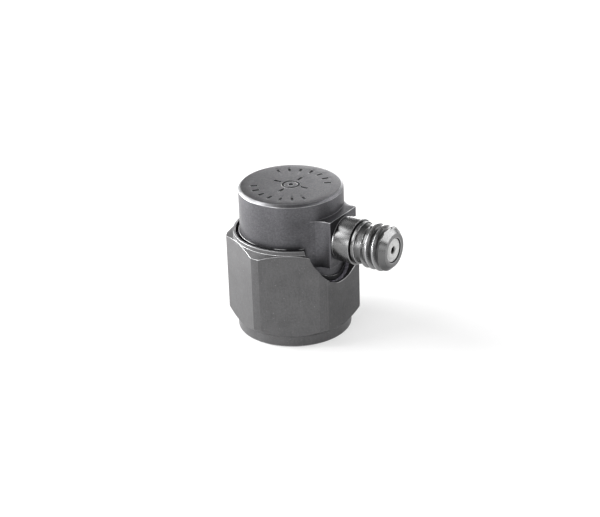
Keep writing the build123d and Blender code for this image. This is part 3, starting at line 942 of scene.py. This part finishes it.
def steel_grain_group():
    """Grain of satin steel: fine speckle, faint tool lines, patches and a few bright specks.

    Speckle is noise at two sizes, about a fifth and a twentieth of a millimetre across. Tool
    lines are noise stretched along the surface by the Lines input, a vector that squeezes the
    coordinates. Specks are the few highest peaks of a noise a seventh of a millimetre across.
    """
    inputs = {"Lines": (1.0, 1.0, 1.0), "Speckle": 0.5, "Tool marks": 0.5}
    n, given, result = new_group("steel_grain", inputs, ("Tone", "Height", "Specks"))
    place = n.place()
    stretched = n.feed(n.add("ShaderNodeVectorMath", operation="MULTIPLY"), {0: place, 1: given["Lines"]})
    coarse = n.noise(place, 5200.0, 2.0, 0.6)
    fine = n.noise(place, 17000.0, 3.0, 0.65)
    lines = n.noise(stretched.outputs[0], 9000.0, 3.0, 0.6)
    patches = n.noise(place, 420.0, 3.0, 0.55)
    speckle = n.math("SUBTRACT", n.math("ADD", coarse, n.math("MULTIPLY", fine, 0.8)), 0.9)
    speckle = n.math("MULTIPLY", speckle, given["Speckle"])
    lines = n.math("MULTIPLY", n.math("SUBTRACT", lines, 0.5), given["Tool marks"])
    height = n.math("ADD", speckle, lines)
    patches = n.math("MULTIPLY", n.math("SUBTRACT", patches, 0.5), 0.45)
    tone = n.math("ADD", n.math("MULTIPLY", height, 0.9), patches)
    n.link(n.math("ADD", tone, 0.5), result["Tone"])
    n.link(n.math("ADD", height, 0.5), result["Height"])
    n.link(n.remap(n.noise(place, 7000.0, 1.0, 0.3), 0.74, 0.80), result["Specks"])
    return n.tree


def edge_marks_group():
    """Bare metal and painted highlight, and residue and painted shade, from the attribute edge.

    Both masks are broken up by noise. Bare metal and painted highlight are where the attribute
    is above nought, and residue and painted shade where it is below.
    """
    n, given, result = new_group("edge_marks", {"Wear and highlight": 1.0, "Dirt and shade": 1.0}, ("Bare and highlight", "Residue and shade"))
    broken = n.remap(n.noise(n.place(), 1100.0, 4.0, 0.65), 0.34, 0.60, 0.62, 1.0)
    edge = n.math("MULTIPLY", n.add("ShaderNodeAttribute", attribute_name="edge").outputs["Fac"], broken)
    n.link(n.math("MULTIPLY", edge, given["Wear and highlight"], clamp=True), result["Bare and highlight"])
    deep = n.math("MULTIPLY", edge, -1.0)
    n.link(n.math("MULTIPLY", deep, given["Dirt and shade"], clamp=True), result["Residue and shade"])
    return n.tree


def grain_group():
    """The grain group, made once."""
    return bpy.data.node_groups.get("steel_grain") or steel_grain_group()


def marks_group():
    """The group of bare metal, painted highlights, residue and painted shade, made once."""
    return bpy.data.node_groups.get("edge_marks") or edge_marks_group()


def new_material(name):
    """A material with one Principled shader, and its node tree's helper."""
    material = bpy.data.materials.new(name)
    material.use_nodes = True
    return material, Nodes(material.node_tree), material.node_tree.nodes["Principled BSDF"]


def rgba(values):
    """A colour with full alpha."""
    return (values[0], values[1], values[2], 1.0)


def scaled(values, factor):
    """A colour made lighter or darker."""
    return rgba([min(1.0, value * factor) for value in values])


def face_painted_shade(n):
    """Painted shade on the block's face: high up at the near side of the neck, and in a strip below it."""
    parts = n.axes(n.place())
    on_face = n.remap(parts[0], CASE_HIGH.x - 0.03 * MM, CASE_HIGH.x - 0.01 * MM)
    upper = n.remap(parts[2], AXIS_HEIGHT - 2.2 * MM, AXIS_HEIGHT + 0.5 * MM, 0.0, 0.75)
    near = n.remap(parts[1], 0.8 * MM, -0.2 * MM, 0.1, 1.0)
    low = n.remap(parts[2], AXIS_HEIGHT - 1.6 * MM, AXIS_HEIGHT - 2.2 * MM, 0.0, 0.45)
    return n.math("MULTIPLY", on_face, n.math("MAXIMUM", n.math("MULTIPLY", near, upper), low))


def steel_material(name, finish, base, roughness, lines, speckle, marks, wear_and_highlight, dirt_and_shade, bump, painted_shade=None):
    """Steel whose tone, roughness and relief follow the grain, with bare edges and painted highlights, and
    residue and painted shade in corners.
    """
    material, n, shader = new_material(name)
    grain = n.group(grain_group(), {"Lines": lines, "Speckle": speckle, "Tool marks": marks})
    edge_tones = n.group(marks_group(), {"Wear and highlight": wear_and_highlight, "Dirt and shade": dirt_and_shade})
    bare_and_highlight, residue_and_shade = edge_tones["Bare and highlight"], edge_tones["Residue and shade"]
    # Painted shade, such as that on the block's face, joins the dark mask
    if painted_shade:
        residue_and_shade = n.math("MAXIMUM", residue_and_shade, painted_shade(n))
    tone = n.mix(n.remap(grain["Tone"], 0.2, 0.8), scaled(base, 0.74), scaled(base, 1.30))
    tone = n.mix(n.math("MULTIPLY", grain["Specks"], 0.18), tone, rgba(finish.edge_steel))
    # Bare edges and painted highlights take the pale edge colour
    tone = n.mix(bare_and_highlight, tone, rgba(finish.edge_steel))
    rough = n.remap(grain["Tone"], 0.2, 0.8, roughness + 0.05, roughness - 0.05)
    rough = n.math("SUBTRACT", rough, n.math("MULTIPLY", bare_and_highlight, 0.08), clamp=True)
    values = {
        "Base Color": n.mix(residue_and_shade, tone, rgba(finish.residue_and_shade)),
        "Metallic": 1.0,
        "Roughness": n.math("ADD", rough, n.math("MULTIPLY", residue_and_shade, 0.30), clamp=True),
        "Normal": n.relief(bump, 0.01 * MM, grain["Height"]),
    }
    n.feed(shader, values)
    return material


def matte_material(name, base, light, roughness, scale, bump, metallic=0.0):
    """A dull surface with mottled tone and a little relief, from noise on its own coordinates."""
    material, n, shader = new_material(name)
    mottle = n.noise(n.place(), scale, 4.0, 0.6)
    values = {
        "Base Color": n.mottled(mottle, rgba(base), rgba(light)),
        "Metallic": metallic,
        "Roughness": n.remap(mottle, 0.3, 0.7, roughness - 0.06, roughness + 0.06),
        "Normal": n.relief(bump, 0.02 * MM, mottle),
    }
    n.feed(shader, values)
    return material


def film_material(finish):
    """Dark film whose cut edge is painted pale and smooth as a glint where the attribute edge says so."""
    material, n, shader = new_material("isolation_film")
    mottle = n.noise(n.place(), 5200.0, 4.0, 0.6)
    edge_tones = n.group(marks_group(), {"Wear and highlight": 1.0, "Dirt and shade": 0.0})["Bare and highlight"]
    tone = n.mottled(mottle, rgba(finish.film), scaled(finish.film, 2.0))
    values = {
        # Painted glint: the film's edge takes the pale film_edge colour
        "Base Color": n.mix(edge_tones, tone, rgba(finish.film_edge)),
        "Metallic": n.math("MULTIPLY", edge_tones, 0.25),
        "Roughness": n.remap(edge_tones, 0.0, 1.0, 0.55, 0.30),
        "Specular IOR Level": 0.2,
        "Normal": n.relief(0.3, 0.02 * MM, mottle),
    }
    n.feed(shader, values)
    return material


def potting_material(finish):
    """Dark resin with a bumpy skin and small pale specks."""
    material, n, shader = new_material("potting_resin")
    place = n.place()
    skin = n.noise(place, 3800.0, 5.0, 0.65)
    specks = n.remap(n.noise(place, 5200.0, 1.0, 0.4), 0.64, 0.70)
    tone = n.mottled(skin, rgba(finish.potting), scaled(finish.potting, 1.8))
    values = {
        "Base Color": n.mix(n.math("MULTIPLY", specks, 0.7), tone, rgba(finish.film_edge)),
        "Roughness": n.remap(skin, 0.3, 0.7, 0.45, 0.65),
        "Normal": n.relief(0.7, 0.04 * MM, skin),
    }
    n.feed(shader, values)
    return material


def insulator_material(finish):
    """White polymer, mottled and speckled grey, with painted shade round its border."""
    material, n, shader = new_material("insulator_white")
    place = n.place()
    mottle = n.noise(place, 2600.0, 4.0, 0.6)
    specks = n.remap(n.noise(place, 7500.0, 2.0, 0.5), 0.52, 0.64, 0.0, 0.45)
    residue_and_shade = n.group(marks_group(), {"Wear and highlight": 0.0, "Dirt and shade": 1.0})["Residue and shade"]
    tone = n.mottled(mottle, scaled(finish.insulator, 0.90), scaled(finish.insulator, 1.15))
    tone = n.mix(specks, tone, scaled(finish.insulator, 0.35))
    values = {
        # Painted shade round the border darkens the polymer
        "Base Color": n.mix(residue_and_shade, tone, rgba(finish.residue_and_shade)),
        "Roughness": n.remap(mottle, 0.3, 0.7, 0.44, 0.56),
        "Normal": n.relief(0.25, 0.02 * MM, mottle),
    }
    n.feed(shader, values)
    return material


def contact_material():
    """Plated metal, painted dark as shade, on the contact's front ring, and near-black painted shade further
    in, where its socket and slot are.
    """
    material, n, shader = new_material("contact_mouth")
    place = n.place()
    front = n.remap(n.axes(place)[0], CONTACT_HIGH.x - 0.05 * MM, CONTACT_HIGH.x - 0.01 * MM)
    mottle = n.noise(place, 9000.0, 3.0, 0.6)
    metal = n.mottled(mottle, rgba((0.03, 0.03, 0.03)), rgba((0.09, 0.09, 0.085)))
    values = {
        # Painted shade: near black inside, dark metal on the front ring
        "Base Color": n.mix(front, rgba((0.004, 0.004, 0.004)), metal),
        "Metallic": n.math("MULTIPLY", front, 0.9),
        "Roughness": n.remap(front, 0.0, 1.0, 0.9, 0.35),
        "Normal": n.relief(0.15, 0.01 * MM, mottle),
    }
    n.feed(shader, values)
    return material


# For each slot of the hidden pieces: dark and light colour, roughness, noise scale, relief, metallic
INNER_FINISHES = {
    "alumina": ((0.80, 0.79, 0.75), (0.88, 0.87, 0.84), 0.45, 2500.0, 0.10, 0.0),
    "case_steel": ((0.24, 0.24, 0.25), (0.34, 0.34, 0.35), 0.38, 5000.0, 0.10, 1.0),
    "crystal": ((0.50, 0.44, 0.33), (0.62, 0.56, 0.44), 0.50, 4000.0, 0.10, 0.0),
    "contact_brass": ((0.56, 0.55, 0.52), (0.68, 0.67, 0.64), 0.30, 4000.0, 0.05, 1.0),
    "white_polymer": ((0.76, 0.76, 0.75), (0.84, 0.84, 0.83), 0.45, 3000.0, 0.08, 0.0),
    "mass_metal": ((0.22, 0.22, 0.23), (0.32, 0.32, 0.33), 0.35, 5000.0, 0.10, 1.0),
    "spring_steel": ((0.44, 0.44, 0.44), (0.56, 0.56, 0.56), 0.28, 5000.0, 0.08, 1.0),
    "board_laminate": ((0.020, 0.13, 0.06), (0.035, 0.18, 0.09), 0.35, 1500.0, 0.10, 0.0),
    "chip_black": ((0.015, 0.015, 0.016), (0.03, 0.03, 0.03), 0.50, 6000.0, 0.15, 0.0),
    "chip_ceramic": ((0.42, 0.31, 0.20), (0.54, 0.42, 0.29), 0.45, 4000.0, 0.10, 0.0),
    "seal_glass": ((0.02, 0.035, 0.045), (0.04, 0.06, 0.07), 0.15, 2000.0, 0.05, 0.0),
}


# Pieces


def give_material(piece, material):
    """Make a material the only one on a piece."""
    piece.data.materials.clear()
    piece.data.materials.append(material)


def add_piece(piece, material, slot, *nodes):
    """Give a piece its material, ride it on the one body and let it stand for its nodes. slot is not used."""
    give_material(piece, material)
    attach(piece, "root")
    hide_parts(*nodes)


class SENSOR_OT_shell(bpy.types.Operator):
    """Build the mounting shell with its hexagon, cones, rim, cut-out and threaded hole."""

    bl_idname = "sensor.shell"
    bl_label = "Mounting shell"

    def execute(self, context):
        shell = context.scene.sensor_shell
        hole = context.scene.sensor_hole
        finish = context.scene.sensor_finish
        half_flat = math.acos(shell.across_flats / shell.across_corners)
        angles = hexagon_angles(half_flat, math.radians(47.0))
        path, edge = shell_path(shell, hole, angles, context.scene.sensor_connector.thread_pitch)
        piece = closed_surface("mounting_shell", upright(path, angles), edge, sharp=22.0)
        material = steel_material(
            "shell_satin_steel", finish, finish.shell_steel,
            roughness=0.45, lines=(1.0, 1.0, 0.12), speckle=finish.grain,
            marks=0.35, wear_and_highlight=0.60, dirt_and_shade=0.6, bump=0.25,
        )
        add_piece(piece, material, "shell_steel", "hex_base")
        return {"FINISHED"}


class SENSOR_OT_case(bpy.types.Operator):
    """Build the sensing case with its cap and the block that carries the connector."""

    bl_idname = "sensor.case"
    bl_label = "Sensing case"

    def execute(self, context):
        case = context.scene.sensor_case
        finish = context.scene.sensor_finish
        angles = case_angles(case)
        path, edge = case_path(case, angles)
        piece = closed_surface("case_body", upright(path, angles), edge)
        material = steel_material(
            "case_turned_steel", finish, finish.case_steel,
            roughness=0.42, lines=(0.35, 0.35, 2.5), speckle=1.6 * finish.grain,
            marks=0.45, wear_and_highlight=0.8, dirt_and_shade=0.8, bump=0.22, painted_shade=face_painted_shade,
        )
        add_piece(piece, material, "case_steel", "sensor_case")
        return {"FINISHED"}


class SENSOR_OT_isolation(bpy.types.Operator):
    """Build the film sleeve and the resin that fill the gap between case and shell."""

    bl_idname = "sensor.isolation"
    bl_label = "Film sleeve and potting"

    def execute(self, context):
        shell = context.scene.sensor_shell
        finish = context.scene.sensor_finish
        angles = hexagon_angles(math.radians(25.0), math.radians(56.0))
        path, edge = sleeve_path(shell, context.scene.sensor_case, angles)
        sleeve = closed_surface("film_sleeve", upright(path, angles), edge)
        add_piece(sleeve, film_material(finish), "isolation_film", "isolation_sleeve")
        path = potting_path(shell, angles)
        potting = closed_surface("resin_fill", upright(path, angles), np.zeros(path.shape[:2]))
        add_piece(potting, potting_material(finish), "potting", "potting_ring")
        return {"FINISHED"}


class SENSOR_OT_connector(bpy.types.Operator):
    """Build the connector's shell with its helical thread, and the white insulator in its mouth."""

    bl_idname = "sensor.connector"
    bl_label = "Connector"

    def execute(self, context):
        finish = context.scene.sensor_finish
        angles = np.linspace(0.0, math.tau, 160, endpoint=True)
        path, edge = connector_path(context.scene.sensor_connector, angles)
        piece = closed_surface("connector_body", sideways(path, angles), edge, sharp=35.0, meets=True)
        material = steel_material(
            "connector_bright_steel", finish, finish.connector_steel,
            roughness=0.27, lines=(2.5, 0.3, 0.3), speckle=0.18,
            marks=0.30, wear_and_highlight=0.8, dirt_and_shade=0.85, bump=0.06,
        )
        add_piece(piece, material, "connector_steel", "connector_shell")
        angles = np.linspace(0.0, math.tau, 96, endpoint=False)
        path, edge = insulator_path(angles)
        insulator = closed_surface("insulator_body", sideways(path, angles), edge)
        add_piece(insulator, insulator_material(finish), "white_polymer", "connector_insulator")
        return {"FINISHED"}


class SENSOR_OT_inner_pieces(bpy.types.Operator):
    """Give the pieces that the case hides, and the centre contact, their own finishes."""

    bl_idname = "sensor.inner_pieces"
    bl_label = "Inner pieces"

    def execute(self, context):
        slot_of = {row["node"]: row["material_slot"] for row in frame["record"]["subparts"]}
        contact = frame["nodes"]["centre_contact"]
        give_material(contact, contact_material())
        made = {}
        for name, node in sorted(frame["nodes"].items()):
            slot = slot_of[name]
            if node.hide_render or node == contact or slot not in INNER_FINISHES:
                continue
            if slot not in made:
                made[slot] = matte_material(f"inner_{slot}", *INNER_FINISHES[slot])
            give_material(node, made[slot])
        return {"FINISHED"}


class SENSOR_OT_stage(bpy.types.Operator):
    """Set the floor, the soft lights, the pale surround and the camera."""

    bl_idname = "sensor.stage"
    bl_label = "Stage"

    def execute(self, context):
        stage = context.scene.sensor_stage
        make_floor(stage)
        for lamp in LAMPS:
            soft_light(*lamp)
        make_world(stage)
        make_camera(context.scene, stage)
        context.scene.view_settings.view_transform = "Standard"
        return {"FINISHED"}


def background_ray(n):
    """One for the rays that show the background: the camera's, and mirrored and refracted ones."""
    path = n.add("ShaderNodeLightPath").outputs
    mirrored = n.math("MAXIMUM", path["Is Camera Ray"], path["Is Glossy Ray"])
    return n.math("MAXIMUM", mirrored, path["Is Transmission Ray"])


def make_floor(stage):
    """A wide pale floor that shows as white, with the object's soft shadow.

    Its own light fades up with the distance from the object, as the lamps' light fades out.
    """
    half = stage.floor_half
    mesh = bpy.data.meshes.new("floor")
    corners = [(-half, -half, 0.0), (half, -half, 0.0), (half, half, 0.0), (-half, half, 0.0)]
    mesh.from_pydata(corners, [], [(0, 1, 2, 3)])
    floor = new_object("floor", mesh)
    material = bpy.data.materials.new("pale_floor")
    material.use_nodes = True
    material.node_tree.nodes.clear()
    n = Nodes(material.node_tree)
    diffuse = n.feed(n.add("ShaderNodeBsdfDiffuse"), {"Color": rgba(stage.floor_colour)})
    shade = n.feed(n.add("ShaderNodeBsdfDiffuse"), {"Color": rgba(stage.floor_shade)})
    distance = n.feed(n.add("ShaderNodeVectorMath", operation="LENGTH"), {0: n.place()}).outputs["Value"]
    strength = n.remap(distance, stage.glow_near, stage.glow_far, stage.floor_glow, stage.floor_far_glow)
    glow = n.feed(n.add("ShaderNodeEmission"), {"Strength": strength})
    both = n.feed(n.add("ShaderNodeAddShader"), {0: shade.outputs[0], 1: glow.outputs[0]})
    choose = n.add("ShaderNodeMixShader")
    n.feed(choose, {0: background_ray(n), 1: diffuse.outputs[0], 2: both.outputs[0]})
    n.feed(n.add("ShaderNodeOutputMaterial"), {"Surface": choose.outputs[0]})
    mesh.materials.append(material)


# Where the lamps aim, and how far off they stand, in metres
LAMP_TARGET = Vector((0.0, 0.0, 0.008))
LAMP_DISTANCE = 0.28
# Name, azimuth and elevation in degrees, width and height in metres, radiance. The strongest is
# low at the left. The rest lift the cap, the front, the right side and the back
LAMPS = (
    ("left_soft_light", -165.0, 10.0, 0.20, 0.095, 32.0),
    ("upper_left_light", -147.0, 47.0, 0.13, 0.13, 4.2),
    ("front_soft_light", -128.0, 32.0, 0.10, 0.10, 4.9),
    ("low_front_light", -95.0, 12.0, 0.14, 0.095, 7.0),
    ("right_strip_light", 24.0, 38.0, 0.30, 0.06, 5.2),
    ("right_back_light", 66.0, 24.0, 0.12, 0.10, 3.7),
    ("low_right_light", -25.0, 14.0, 0.10, 0.08, 1.5),
    ("low_back_light", 110.0, 9.0, 0.16, 0.08, 8.4),
    ("high_back_light", 151.0, 54.0, 0.12, 0.10, 0.7),
)


def soft_light(name, azimuth, elevation, width, height, radiance):
    """A flat lamp in a direction in degrees, aimed at the object, of power pi x area x radiance."""
    lamp = bpy.data.lights.new(name, "AREA")
    lamp.shape = "RECTANGLE"
    lamp.size = width
    lamp.size_y = height
    lamp.energy = math.pi * width * height * radiance
    holder = new_object(name, lamp)
    across, up = math.radians(azimuth), math.radians(elevation)
    towards = Vector((math.cos(up) * math.cos(across), math.cos(up) * math.sin(across), math.sin(up)))
    holder.location = LAMP_TARGET + towards * LAMP_DISTANCE
    holder.rotation_mode = "QUATERNION"
    holder.rotation_quaternion = (-towards).to_track_quat("-Z", "Y")


def make_world(stage):
    """An even pale surround."""
    world = bpy.data.worlds.new("studio")
    world.use_nodes = True
    world.node_tree.nodes.clear()
    bpy.context.scene.world = world
    n = Nodes(world.node_tree)
    light = {"Color": (1.0, 1.0, 1.0, 1.0), "Strength": stage.surround}
    surround = n.feed(n.add("ShaderNodeBackground"), light)
    n.feed(n.add("ShaderNodeOutputWorld"), {"Surface": surround.outputs[0]})


def make_camera(scene, stage):
    """The camera, aimed at the case's axis and then panned, tilted and rolled by small angles."""
    azimuth, elevation = stage.azimuth, stage.elevation
    level = math.cos(elevation)
    back = Vector((math.sin(azimuth) * level, -math.cos(azimuth) * level, math.sin(elevation)))
    place = Vector((0.0, 0.0, stage.target_height)) + back * stage.distance
    across = Vector((0.0, 0.0, 1.0)).cross(back).normalized()
    up = back.cross(across)
    turn = Matrix((across, up, back)).transposed()
    small = (
        Matrix.Rotation(stage.roll, 3, "Z")
        @ Matrix.Rotation(stage.pan, 3, "Y")
        @ Matrix.Rotation(stage.tilt, 3, "X")
    )
    lens = bpy.data.cameras.new("camera")
    lens.sensor_width = 36.0
    lens.sensor_fit = "HORIZONTAL"
    lens.lens = stage.focal_pixels * lens.sensor_width / stage.photo_pixels
    lens.clip_start = 0.01
    lens.clip_end = 10.0
    camera = new_object("camera", lens)
    camera.matrix_world = Matrix.Translation(place) @ (turn @ small).to_4x4()
    scene.camera = camera


class SENSOR_PT_panel(bpy.types.Panel):
    """Lists the sensor's pieces and settings."""

    bl_label = "Vibration sensor"
    bl_idname = "SENSOR_PT_panel"
    bl_space_type = "VIEW_3D"
    bl_region_type = "UI"
    bl_category = "Sensor"

    def draw(self, context):
        for operator in PIECE_OPERATORS:
            self.layout.operator(operator.bl_idname)
        for group in SETTINGS:
            settings = getattr(context.scene, group)
            box = self.layout.box()
            box.label(text=group.replace("_", " "))
            for name in settings.__annotations__:
                box.prop(settings, name)


PIECE_OPERATORS = (
    SENSOR_OT_stage,
    SENSOR_OT_shell,
    SENSOR_OT_case,
    SENSOR_OT_isolation,
    SENSOR_OT_connector,
    SENSOR_OT_inner_pieces,
)
SETTINGS = {
    "sensor_shell": ShellSizes,
    "sensor_hole": StudHoleSizes,
    "sensor_case": CaseSizes,
    "sensor_connector": ConnectorSizes,
    "sensor_finish": Finishes,
    "sensor_stage": StageSettings,
}


def register():
    """Register the classes and hang the settings on the scene."""
    for settings in SETTINGS.values():
        bpy.utils.register_class(settings)
    for operator in PIECE_OPERATORS:
        bpy.utils.register_class(operator)
    bpy.utils.register_class(SENSOR_PT_panel)
    for name, settings in SETTINGS.items():
        setattr(bpy.types.Scene, name, bpy.props.PointerProperty(type=settings))


def unregister():
    """Take the settings off the scene and unregister the classes."""
    for name in SETTINGS:
        delattr(bpy.types.Scene, name)
    bpy.utils.unregister_class(SENSOR_PT_panel)
    for operator in reversed(PIECE_OPERATORS):
        bpy.utils.unregister_class(operator)
    for settings in reversed(list(SETTINGS.values())):
        bpy.utils.unregister_class(settings)


def main():
    """Build every piece and the stage."""
    register()
    bpy.ops.sensor.stage()
    bpy.ops.sensor.shell()
    bpy.ops.sensor.case()
    bpy.ops.sensor.isolation()
    bpy.ops.sensor.connector()
    bpy.ops.sensor.inner_pieces()


if __name__ == "__main__":
    main()
